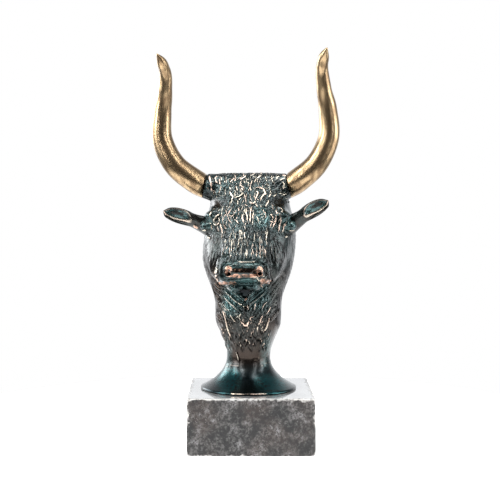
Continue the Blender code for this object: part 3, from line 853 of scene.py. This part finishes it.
# Locks and folds that stand out, by width, height and shine, then the places of the line as
# seen, across and down by turns. Half the width laid is this share of the width given.
LOCK_SHARE = 0.66
LOCKS = (
    # Forelock, along the crown.
    (1.5, 1.5, 1.0, 209.5, 175.5, 210.2, 179, 211.2, 184, 212, 190),
    (1.1, 1.2, 0.9, 206, 182, 206.6, 186, 207.8, 190),
    (1.2, 1.2, 0.8, 215.5, 177, 216.2, 181, 218.4, 185),
    (1.0, 1.1, 0.8, 218.4, 178.5, 219.4, 182, 221.5, 186),
    (1.0, 1.1, 0.7, 226.3, 175.5, 226.5, 180, 227.2, 185),
    (1.0, 1.2, 0.9, 229.7, 184, 232, 181, 235, 177.5),
    (1.0, 1.2, 0.9, 239.5, 180.5, 243, 178.5, 246.5, 175.3),
    (0.9, 1.0, 0.7, 243.4, 180, 244, 182, 245.7, 184.5),
    (0.9, 1.0, 0.6, 250, 176, 250.5, 178, 251, 181),
    (1.1, 1.3, 1.0, 254.5, 183.5, 256.2, 179.4, 259, 177, 262.6, 175),
    (0.9, 1.0, 0.7, 259.3, 180, 259.7, 184),
    (0.9, 1.1, 0.8, 264.7, 176, 266, 179, 267.2, 183),
    (1.0, 1.2, 0.8, 271.3, 175.5, 272, 181, 274.9, 185),
    (1.1, 1.3, 1.0, 276.6, 179, 278.5, 176.5, 281.3, 175.6, 284.5, 177, 282.4, 179.2, 279.6, 180.4),
    (1.1, 1.2, 1.0, 282, 181.4, 284, 183.6, 284.2, 186, 282.8, 189),
    (1.1, 1.2, 0.9, 280.6, 195.8, 284.5, 193.6, 286.6, 191, 287, 187.5),
    (1.0, 1.1, 0.8, 229.6, 187.4, 230.6, 189.4, 232.4, 191),
    (1.0, 1.1, 0.8, 236, 186.6, 237, 189.4, 238.2, 192.4),
    (1.0, 1.1, 1.0, 241.2, 187.8, 242, 189.4, 243.2, 191.2),
    (1.0, 1.1, 0.9, 249.6, 187.4, 250.2, 189.4, 251.5, 191.6),
    (1.0, 1.1, 0.6, 217.6, 193, 221.3, 196.2, 224.5, 196.2, 227.4, 194.3),
    (1.2, 1.5, 1.0, 243.9, 193.4, 241.5, 195.9, 238.6, 197.8, 234.6, 197.9),
    (1.1, 1.4, 1.0, 229.8, 191.4, 231, 194.4, 233, 197, 233, 199.6, 231.8, 201.4),
    (1.0, 1.1, 0.8, 236.9, 200.5, 238.2, 203, 237.8, 206),
    (1.1, 1.5, 1.0, 255.8, 187.7, 259.6, 188.4, 263.6, 190.9, 264.9, 194.3, 262, 197, 260, 202.4),
    (1.1, 1.4, 1.0, 256, 190.8, 257.8, 194, 256.2, 197.6, 254.8, 201.4),
    (1.1, 1.6, 1.0, 249.3, 202.4, 251.3, 204.2, 253.8, 204, 255.8, 201.2),
    (1.0, 1.2, 0.8, 270.8, 193.4, 269.6, 196, 267.4, 198.4),
    (1.0, 1.2, 0.8, 275.8, 194, 274, 196.4, 271.6, 197.4),
    (0.9, 1.1, 0.8, 244.2, 205, 247.6, 206.4),
    (1.0, 1.2, 0.8, 264.4, 208.2, 266.8, 204, 268.9, 199.8),
    # Brow and nose root.
    (1.1, 1.3, 1.0, 246.6, 207.6, 246.2, 213, 247.6, 219, 247.2, 223),
    (1.0, 1.3, 1.0, 251.8, 206.6, 250.6, 212, 250.4, 218, 250, 224),
    (1.0, 1.2, 1.0, 242.2, 214.6, 242.8, 219, 244, 224),
    (0.9, 1.1, 0.8, 253.8, 212, 252.9, 217, 252.6, 222),
    (0.9, 1.1, 0.8, 244.6, 209, 244.3, 214),
    (1.0, 1.4, 0.25, 255, 210.2, 259.6, 208.6, 264.6, 210.2, 267.4, 214.6, 265.6, 221, 262.4, 227),
    (0.75, 1.0, 0.75, 258.0, 213.2, 260.8, 212.2),
    (0.75, 1.0, 0.75, 259.4, 216, 263, 213.6),
    (0.75, 1.0, 0.75, 260.2, 218.6, 264, 216),
    (0.75, 1.0, 0.7, 260.4, 221.2, 264, 218.8),
    (1.1, 1.3, 1.0, 270.3, 214.6, 271.6, 217, 273.4, 219),
    (1.1, 1.3, 1.0, 275.2, 211.4, 277.8, 213.4),
    (1.1, 1.4, 1.0, 276.6, 215.6, 275, 221, 271.4, 228),
    (1.0, 1.3, 1.0, 268.8, 221.4, 273.2, 223),
    (1.1, 1.2, 1.0, 281.4, 216.6, 280, 222, 278.6, 226.6, 278, 232.6),
    (1.0, 1.2, 0.9, 213.2, 221.6, 214.6, 218.4, 217, 216, 220, 214.2),
    (1.0, 1.2, 0.9, 213.4, 222, 215.4, 224.8, 218.6, 224.6, 220.2, 220.8, 218.2, 217.8),
    (1.1, 1.3, 1.0, 220.4, 223.2, 222.6, 228, 224, 234),
    (1.0, 1.1, 0.8, 224.6, 224.6, 226, 227, 227.6, 230),
    (1.0, 1.1, 0.7, 217.6, 226, 220.2, 232),
    (0.95, 1.1, 0.8, 226, 207.4, 227.4, 213, 230.4, 221, 233.8, 225.6),
    (0.95, 1.1, 0.8, 234.4, 219, 239.8, 224.8),
    (0.95, 1.1, 0.8, 238.6, 208, 239.8, 212.6),
    (1.0, 1.2, 1.0, 265.6, 229, 266, 232.6, 264.6, 242),
    (0.9, 1.1, 0.7, 271.2, 203.2, 271.4, 209),
    # Bridge of the nose.
    (0.85, 1.0, 1.0, 246.6, 250, 246.8, 254, 246.2, 258.4),
    (0.85, 1.0, 0.9, 252.2, 249, 253.2, 255),
    (0.85, 1.0, 0.8, 256, 247, 256.4, 255),
    (0.85, 1.0, 0.8, 229.8, 246, 230.4, 256),
    (0.85, 1.0, 0.7, 234, 238, 235, 248),
    (0.85, 1.0, 0.8, 259.6, 236, 259, 246),
    (0.85, 1.0, 0.8, 240, 233, 240.6, 241),
    # Eyes: the folds on their inner side, a painted glint on each lower lid, and the bright
    # spots below.
    (0.9, 1.1, 1.0, 286.4, 221, 284.6, 225.4, 283.2, 229, 281.6, 232.8),
    # A painted glint of the eyeball, as a bright stroke on the lower lid.
    (0.8, 0.9, 0.9, 288.6, 230.6, 290.4, 230.0),
    (1.1, 1.1, 0.9, 284.4, 237.2, 286.8, 236.8),
    (0.9, 1.1, 0.9, 209.6, 221.4, 211.4, 225.4, 213.4, 231),
    # A painted glint of the eyeball, as a bright stroke on the lower lid.
    (0.8, 0.9, 0.9, 205.2, 230, 207.2, 229.6),
    (1.1, 1.1, 0.9, 208.4, 237, 210.8, 238.4),
    # Muzzle: its rims, the nose pad, the lips and the chin.
    (1.2, 1.2, 0.85, 216, 265.6, 217.8, 270, 217.8, 275.6, 218.8, 281.6, 221.4, 286.4,
     224.4, 288.4),
    (1.5, 1.5, 0.12, 226, 261.6, 221.8, 266.4, 220.6, 272, 221.6, 278, 225.4, 280.2),
    (1.5, 1.5, 0.12, 262.6, 261.8, 266.6, 266, 267.4, 271, 265.8, 276, 261.8, 279),
    (1.1, 1.3, 0.9, 237.8, 261.2, 241.4, 262.6, 247, 263, 251.4, 262.7, 255.9, 261.4),
    (0.8, 1.0, 0.55, 226, 267.6, 233.2, 265.2, 240, 266, 248.6, 266.8, 256, 265.6, 260.8, 266.4),
    (1.2, 1.3, 0.8, 226.4, 277.2, 231, 276.4, 238.6, 277, 244.3, 276.2, 250, 276.6, 258, 277.6),
    (1.0, 1.2, 0.9, 226.4, 272.6, 228.4, 270.8, 231.4, 272, 231.6, 275),
    (1.0, 1.2, 1.0, 256.6, 274.8, 257.6, 271.8, 260.6, 271.2, 262.6, 273.4, 261.4, 276.2,
     258, 276.6),
    (1.2, 1.2, 0.15, 222, 280.6, 230, 280.2, 240, 279.4, 248, 279, 256, 280.2),
    (1.3, 1.2, 0.9, 256.8, 283.4, 262.4, 282.4, 266.6, 279, 269.4, 273.6),
    (0.9, 1.0, 0.6, 254, 281, 259, 280.6, 263, 278.4, 266, 274.4),
    (1.1, 1.1, 0.55, 270.6, 280, 271, 273, 269.6, 267, 266, 262.6),
    (1.0, 1.1, 0.9, 220.6, 282.6, 226, 283, 232, 283.2, 237.6, 284),
    (0.8, 0.9, 0.6, 224, 285.6, 230, 286, 235.4, 287),
    (1.4, 1.3, 0.15, 236, 287.4, 244.6, 288.4, 253.6, 287),
    # Throat.
    (1.3, 1.3, 0.55, 230.4, 288.8, 235, 293, 240, 298, 243.8, 301.6),
    (0.7, 0.9, 0.9, 251.8, 290.8, 250, 294, 247.2, 297.8, 245, 300.6),
    (0.6, 0.8, 0.8, 236.6, 289.6, 239, 293.6, 242.2, 298, 244.2, 301),
    (1.4, 1.4, 0.62, 224.3, 290, 230.7, 296, 236.4, 301.6, 241.6, 305.2),
    # A short raised stroke painted bright: a painted glint on the strand above.
    (0.9, 1.5, 1.0, 238, 303, 241.8, 305.8),
    (1.4, 1.4, 0.62, 223.4, 295, 228.6, 301, 234.3, 306.6, 239.6, 311.4),
    (1.2, 1.2, 0.62, 222.8, 302, 227, 308, 232, 313),
    (1.2, 1.3, 0.4, 262.8, 289.4, 257, 294.6, 252, 300, 248.4, 303),
    (1.2, 1.3, 0.55, 267, 289, 261.4, 295, 255.7, 300, 250, 306.6, 247.6, 311.4),
    (0.8, 1.0, 0.9, 247.8, 305.2, 248.4, 309.6),
    (0.8, 1.0, 0.9, 243.2, 305.6, 244.6, 310),
    (1.1, 1.3, 1.0, 241, 320.4, 243.4, 324, 247, 324.2, 249.4, 320.6),
    (1.1, 1.2, 0.9, 223, 308, 225, 315, 227, 322, 229.4, 331, 232.4, 340.6),
    (1.0, 1.1, 0.8, 229.8, 314.4, 233, 318, 236.4, 322.6),
    (1.1, 1.3, 1.0, 269, 317.6, 267, 323, 264, 330.6),
    (1.0, 1.1, 0.9, 262.4, 315, 260, 320, 258, 325.6),
    (0.9, 0.9, 0.7, 236, 351, 238, 356, 239.2, 362.6),
    # Seams of the foot.
    (0.7, 0.30, 0.54, 222, 364.6, 230, 366, 238, 366.6, 245.6, 366),
    (0.7, 0.25, 0.53, 252, 362, 257, 359.4, 262.4, 355),
    (0.7, 0.25, 0.54, 255, 367, 263, 365, 271, 360),
)
for width, height, shine, *places in LOCKS:
    path = spot(curve(np.reshape(places, (-1, 2))))
    coat.lay(path, LOCK_SHARE * width, height, shine, 0.45, 1.0, 0.2)

# The nose pad, the lips' corners and the tip of the throat's wedge are rubbed to a dull
# copper: by centre and halves in the picture, roundness and brightness.
copper = np.zeros(skin.shape[1:])
for centre, halves, power, bright in (
        ((244.4, 270.6), (12.4, 2.1), 4, 0.34),
        ((228.6, 271.4), (4.0, 6.0), 2.5, 0.60),
        ((244, 275.4), (16.5, 1.8), 4, 0.62),
        ((259.6, 271.6), (3.6, 5.6), 2.5, 0.66),
        ((265, 281), (5.4, 3.0), 2.5, 0.56),
        ((227.5, 283), (9.5, 2.0), 3, 0.56),
        ((245.2, 298.2), (2.4, 2.6), 1.6, 0.56)):
    bare = patch(centre, halves, power, 0.15)
    copper = np.maximum(copper, bare)
    rubbed = bare * (bright + 0.06 + 0.4 * lattice(skin, 1.6, 45))
    coat.crest = np.maximum(coat.crest * (1 - 0.3 * bare), rubbed)
    coat.gap *= 1 - 0.9 * bare

# Verdigris lies thickest on the throat, the whorl of the brow, the lids and the foot.
teal = 0.08 * (z > 96) * front
for centre, halves, amount in (
        ((232, 301), (13, 14), 1.0), ((258, 298), (11, 12), 0.45), ((246, 330), (20, 18), 0.25),
        ((261.5, 218), (7.0, 10), 1.0), ((246, 190), (36, 14), 0.22), ((248, 280), (9, 3), 1.0),
        ((206.6, 224), (8, 10), 0.8), ((289.4, 223), (8, 10), 0.7), ((243, 264.8), (22, 3.2), 0.6),
        ((228, 381), (10, 11), 1.6), ((272, 384), (14, 9), 1.4), ((227, 352), (4.5, 15), 0.7),
        ((267, 350), (6, 17), 0.6), ((246, 286), (15, 3), 0.5)):
    teal = np.maximum(teal, amount * patch(centre, halves, 2, 0.5))

# Hairless hollows: the bald spots below the horns, the nostrils and the throat's wedge. They
# are brown or black, by the share of black. The black in the nostrils and the throat's wedge
# is painted shade.
brown = np.zeros(skin.shape[1:])
for centre, halves, depth, black in (
        ((215.5, 203.5), (6.0, 4.6), 0.2, 0.25),
        ((279.5, 202), (6.0, 5.0), 0.2, 0.5),
        ((229.2, 274.0), (1.5, 1.4), 2.0, 1.0),
        ((259.6, 274.0), (1.7, 1.3), 2.0, 1.0),
        ((245, 289.8), (9.4, 2.3), 1.6, 1.0),
        ((245, 292.8), (6.4, 2.2), 1.6, 1.0),
        ((245.2, 295.6), (3.4, 2.1), 1.4, 0.9),
        ((245.8, 308), (1.6, 2.6), 0.5, 0.2)):
    inside = patch(centre, halves)
    brown = np.maximum(brown, inside * (1 - black))
    coat.crest *= 1 - inside
    coat.relief = coat.relief * (1 - inside) - depth * inside
    coat.gap = np.where(inside > 0, coat.gap * (1 - inside) + black * inside, coat.gap)

# The cheeks, the low neck and the nose pad are toned brown. The sides take it at full
# strength on the left and half on the right: the extra on the left is painted shade.
sides = clamp((np.abs(x) - 13) / 6) * clamp((z - 26) / 10) * np.where(x < 0, 1.0, 0.5)
brown = np.maximum(brown, np.interp(z, (85, 100, 116, 124), (1.0, 0.5, 0.4, 0)) * sides)
low_neck = np.interp(z, (17, 24, 50, 62), (0, 0.85, 0.7, 0)) * (1 - np.minimum(teal, 1))
brown = np.maximum(brown, low_neck)
brown = np.maximum(brown, 0.95 * patch((244.4, 270.6), (12.4, 2.3), 4, 0.15))

# The lip of the foot is rubbed bare in front, and only there: rubbed metal and a painted
# highlight.
rim = ridge(z, LIP, 0.9) * clamp((np.cos(angles) - 0.88) / 0.06)
coat.crest = np.maximum(coat.crest, rim * (0.62 + 0.2 * lattice(skin, 3.0, 44)))
copper = np.maximum(copper, 0.4 * rim)

# No lock runs over the ends of the hairy bar, and those of the crown lie flat.
end = clamp(np.where(x < 0, *SLEEVE_REACHES) - 1.0 - np.abs(x))
end = np.where((np.abs(x) > 25) & (z > 137), end, 1.0)
coat.crest *= end
coat.relief *= end * (1 - 0.6 * clamp((z - 151) / 3))

points = turned(skin + normals * coat.relief)


def head_faces(index):
    """Quads between the rows, but for the back of the last row, which closes on the front's.

    There the front's points and the back's lie on one line, so each back face takes in the
    front's point between its two corners. It is cut into triangles that start from the corner
    farther from the seam, so no edge runs twice between the same points.
    """
    faces, wide, width = quads(index), 2 * BACK_COLUMNS, index.shape[1]
    faces = faces[:-1].reshape(-1, 4).tolist() + faces[-1, :wide].tolist()
    last, crown = index[-2].tolist(), index[-1].tolist()
    for k in range(BACK_COLUMNS):
        here, first, second = wide + k, wide - 2 * k, wide - 2 * (k + 1)
        corners = [last[here], last[(here + 1) % width], crown[second], crown[second + 1],
                   crown[first % width]]
        if 2 * k < BACK_COLUMNS:
            corners = corners[1:] + corners[:1]
        faces += [[corners[0], corners[j], corners[j + 1]] for j in (1, 2, 3)]
    return faces + [index[0][::-1].tolist()]


marks = {"crest": coat.crest, "gap": coat.gap, "brown": brown, "teal": teal, "copper": copper}
faces = head_faces(np.arange(points[0].size).reshape(points[0].shape))
mesh = marked_mesh("head", (points * UNIT).transpose(1, 2, 0), faces, marks)
seal(mesh, 0.000001)

bronze, tree = material("patinated bronze")
place = tree.node("TexCoord", "Object")
crest, gap, bald, green, dull = [tree.attribute(name) for name in marks]
height = tree.node("SeparateXYZ", "Z", None, {"Vector": place})
cloud = tree.noise(place, 70.0, 5.0)
fine = tree.noise(place, 600.0, 4.0)
hairs = tree.noise(tree.stretched(place, (1.0, 1.0, 0.12)), 1400.0, 2.0)
patina = cloud.step(0.40, 0.62).mix((0.008, 0.011, 0.011), (0.015, 0.030, 0.030))
patina = (fine.step(0.50, 0.70) * 0.6).mix(patina, (0.026, 0.056, 0.053))
low = height.step(0.118, 0.080)
patina = (low * 0.8).mix(patina, (0.014, 0.010, 0.008))
foot = (height + cloud * 0.014).step(0.073, 0.053)
patina = (foot * (1.0 - green)).mix(patina, (0.006, 0.015, 0.018))
verdigris = foot.mix((0.052, 0.114, 0.113), (0.008, 0.072, 0.077))
patina = (green * (cloud * 0.4 + fine).step(0.48, 0.78)).mix(patina, verdigris)
patina = (bald * 0.9).mix(patina, (0.034, 0.022, 0.016))
# Where gap is 1 the bronze is near black with no reflection: painted shade in the grooves beside
# the strands, the eyes' slits, the nostrils and the throat's wedge.
patina = gap.mix(patina, (0.002, 0.003, 0.004))
rub = (crest + (fine - 0.5) * 0.35).step(0.42, 0.78)
warm = cloud.step(0.42, 0.58).mix((0.64, 0.57, 0.46), (0.62, 0.46, 0.37))
warm = dull.mix(warm, (0.45, 0.26, 0.185))
tree.shade({
    "Base Color": rub.mix(patina, warm),
    "Roughness": rub.blend(0.27, 0.46) - foot * 0.05,
    "Metallic": (rub + gap + foot + bald).math("MINIMUM", 1.0).blend(0.55, 1.0),
    "Coat Weight": 0.2,
    "Coat Roughness": 0.2,
    "Normal": tree.bump(fine * 0.6 + hairs * 0.7, 0.0002, 0.45),
})

# The ears are cast as one with the head: a leaf with a hollowed face and a rounded rim. By
# share of the length: half the height, half the thickness and the hollow, as shares of
# EAR_WIDTH.
EAR_ROOT = (26.0, -11.5, 118.3)
EAR_FORWARD = 28.0
EAR_RISES = (17.3, 28.5)
EAR_LENGTH = 40.5
EAR_WIDTH = 12.8
EAR_SHARES = (0.0, 0.12, 0.28, 0.42, 0.55, 0.70, 0.84, 0.94, 1.0)
EAR_HALVES = (0.72, 0.59, 0.49, 0.45, 0.49, 0.50, 0.43, 0.29, 0.03)
EAR_THICKS = (0.62, 0.48, 0.34, 0.29, 0.26, 0.24, 0.19, 0.12, 0.02)
EAR_CUPS = (0.0, 0.0, 0.0, 0.16, 0.42, 0.44, 0.34, 0.14, 0.0)
# Rings in all and within this share of the root, and sides in all and in front.
EAR_RINGS, ROOT_RINGS, ROOT_SHARE = 60, 5, 0.26
EAR_SIDES, FRONT_SIDES = 48, 34
# The cup is an ellipse of the ear's face, by the share along it and the sine about it. The
# bead is a drop of copper at the root of the left ear.
LEAF_MIDDLE, LEAF_HALVES = (0.735, 0.05), (0.235, 0.62)
RIM = (1.22, 0.19)
RIM_HEIGHT, BEAD_HEIGHT, TUFT_HEIGHT, CUP_DEPTH = 0.7, 1.0, 0.25, 0.8


def ear(side):
    """An ear as rings from its root inside the skull to its tip, with rim, cup and bead."""
    mirror = (-1, 1)[side]
    share = np.concatenate([np.linspace(0, ROOT_SHARE, ROOT_RINGS + 1)[:-1],
                            np.linspace(ROOT_SHARE, 1, EAR_RINGS - ROOT_RINGS)])[:, None]
    angle = np.concatenate([np.linspace(-0.5, 0.5, FRONT_SIDES + 1)[:-1],
                            np.linspace(0.5, 1.5, EAR_SIDES - FRONT_SIDES + 1)[:-1]])
    angle = math.pi * angle[None, :]
    rise, forward = math.radians(EAR_RISES[side]), math.radians(EAR_FORWARD)
    axis = np.array([mirror * math.cos(rise) * math.cos(forward),
                     -math.cos(rise) * math.sin(forward), math.sin(rise)])
    face = np.array([mirror * math.sin(forward), -math.cos(forward), -0.25])
    face = face - axis * np.dot(face, axis)
    face = face / np.linalg.norm(face)
    upward = np.cross(face, axis) * mirror
    half = EAR_WIDTH * through(share, EAR_SHARES, EAR_HALVES)
    thick = EAR_WIDTH * through(share, EAR_SHARES, EAR_THICKS)
    hollow = EAR_WIDTH * through(share, EAR_SHARES, EAR_CUPS)
    inner = clamp(np.cos(angle))
    ahead = clamp(3 * np.cos(angle))
    level = np.sin(angle)
    far = np.hypot((share - LEAF_MIDDLE[0]) / LEAF_HALVES[0],
                   (level - LEAF_MIDDLE[1]) / LEAF_HALVES[1])
    cup = clamp((1.06 - far) / 0.12) * ahead
    band = ridge(far, *RIM) * ahead
    tuft = np.sin(9 * level + 7 * share) * cup
    bead = np.exp(-((share - 0.345) / 0.06) ** 2 - ((level + 0.36) / 0.26) ** 2)
    bead = (side == 0) * bead * ahead
    end = clamp((1 - share) / 0.12)
    out = thick * np.cos(angle) - hollow * inner ** 0.7
    out = out + end * (TUFT_HEIGHT * tuft + RIM_HEIGHT * band + BEAD_HEIGHT * bead
                       - CUP_DEPTH * clamp(1.1 - far) * ahead)
    root = np.array([mirror * EAR_ROOT[0], EAR_ROOT[1], EAR_ROOT[2]])
    points = (root[:, None, None] + axis[:, None, None] * EAR_LENGTH * (share + 0 * angle)
              + upward[:, None, None] * half * level + face[:, None, None] * out)
    vein = 0.6 * np.exp(-((level - 0.12) / 0.12) ** 2 - ((share - 0.72) / 0.11) ** 2) * ahead
    rubbed = band * np.where(level < 0.2, 1.1, 0.6) * np.clip((share - 0.40) / 0.1, 0.2, 1)
    rim = np.maximum(np.maximum(rubbed, vein), bead)
    return turned(points), rim, cup, bead


whole = bmesh.new()
whole.from_mesh(mesh)
for side, name in enumerate(("left", "right")):
    rings, rim, cup, bead = ear(side)
    leaf = grid_mesh("ear_" + name, (rings * UNIT).transpose(1, 2, 0), crest=rim, gap=0 * rim,
                     brown=0.4 - 0.4 * cup, teal=cup, copper=bead)
    seal(leaf)
    whole.from_mesh(leaf)
    bpy.data.meshes.remove(leaf)
whole.to_mesh(mesh)
whole.free()
mesh.shade_smooth()
piece("head", mesh, bronze, "head")


# Horns.
# Polished brass, one seated in each end of the hairy bar: faintly hammered, ringed by
# wrinkles near the root, and streaked with brown.
HORN_REACHES = (29.7, 28.6)
HORN_RISES = (90.8, 93.0)
HORN_ROOT = 8.3
HORN_SEAT = 0.3
HORN_SETTLE = 0.10
WRINKLED = 0.30
HORN_SHARES = (0.0, 0.13, 0.28, 0.45, 0.62, 0.80, 0.92, 0.97, 1.0)
HORN_OUT = (0.0, 0.24, 0.69, 1.0, 0.98, 0.88, 0.845, 0.895, 0.955)
HORN_FORWARD = (0.0, 0.055, 0.098, 0.11, 0.15, 0.225, 0.315, 0.395, 0.45)
HORN_UP = (0.0, 0.045, 0.165, 0.37, 0.58, 0.745, 0.90, 0.96, 1.0)
HORN_THICKNESS = (1.05, 1.06, 0.99, 0.905, 0.79, 0.625, 0.49, 0.38, 0.06)
HORN_RINGS = 200
HORN_SIDES = 96


def unit(vectors):
    """The vectors along the first axis, at length 1."""
    return vectors / np.linalg.norm(vectors, axis=0)


def horn(side):
    """A horn: circles across a curved middle line, the first flat on the end of the bar."""
    share = np.linspace(0, 1, HORN_RINGS)
    line = np.stack([
        HORN_REACHES[side] * through(share, HORN_SHARES, HORN_OUT),
        -HORN_RISES[side] * through(share, HORN_SHARES, HORN_FORWARD),
        HORN_RISES[side] * through(share, HORN_SHARES, HORN_UP),
    ])
    lean = math.radians(SLEEVE_TILT)
    seat = np.array([math.cos(lean), 0.0, math.sin(lean)])
    settle = clamp(share / HORN_SETTLE)
    heading = unit(np.gradient(line, share, axis=1))
    heading = unit(seat[:, None] * (1 - settle) + heading * settle)
    across = unit(np.cross(heading, np.array([0.0, -1.0, 0.0]), axis=0))
    over = np.cross(heading, across, axis=0)
    angle = np.linspace(0, 2 * math.pi, HORN_SIDES, endpoint=False)
    radius = HORN_ROOT * through(share, HORN_SHARES, HORN_THICKNESS)[:, None] + 0 * angle
    root = np.array([SLEEVE_REACHES[side], SLEEVE_Y, SLEEVE_Z]) + HORN_SEAT * seat
    circle = across[:, :, None] * np.cos(angle) + over[:, :, None] * np.sin(angle)
    rings = line[:, :, None] + root[:, None, None] + circle * radius
    low = clamp(1 - share[:, None] / WRINKLED)
    wrinkle = 0.035 * np.sin(230 * share[:, None] + 2.0 * lattice(rings, 9.0, 30)) * low
    dent = 0.03 * lattice(rings, 6.0, 31)
    even = clamp(share / 0.02)[:, None] * clamp((1 - share) / 0.05)[:, None]
    rings = rings + circle * (wrinkle + dent) * even
    rings[0] = rings[0] * (-1, 1)[side]
    return turned(rings)


brass, tree = material("polished brass")
place = tree.node("TexCoord", "Object")
streak = tree.noise(tree.stretched(place, (1.0, 1.0, 0.25)), 220.0, 5.0)
dimple = tree.node("TexVoronoi", "Distance", None, {"Vector": place, "Scale": 420.0})
tree.shade({
    "Base Color": streak.step(0.38, 0.66).mix((0.385, 0.272, 0.155), (0.205, 0.135, 0.076)),
    "Metallic": 1.0,
    "Roughness": streak.step(0.35, 0.7).blend(0.28, 0.36),
    "Normal": tree.bump(dimple, 0.0002, 0.03),
})
for side, name in enumerate(("horn_left", "horn_right")):
    mesh = grid_mesh(name, (horn(side) * UNIT).transpose(1, 2, 0))
    seal(mesh)
    piece(name, mesh, brass, name)
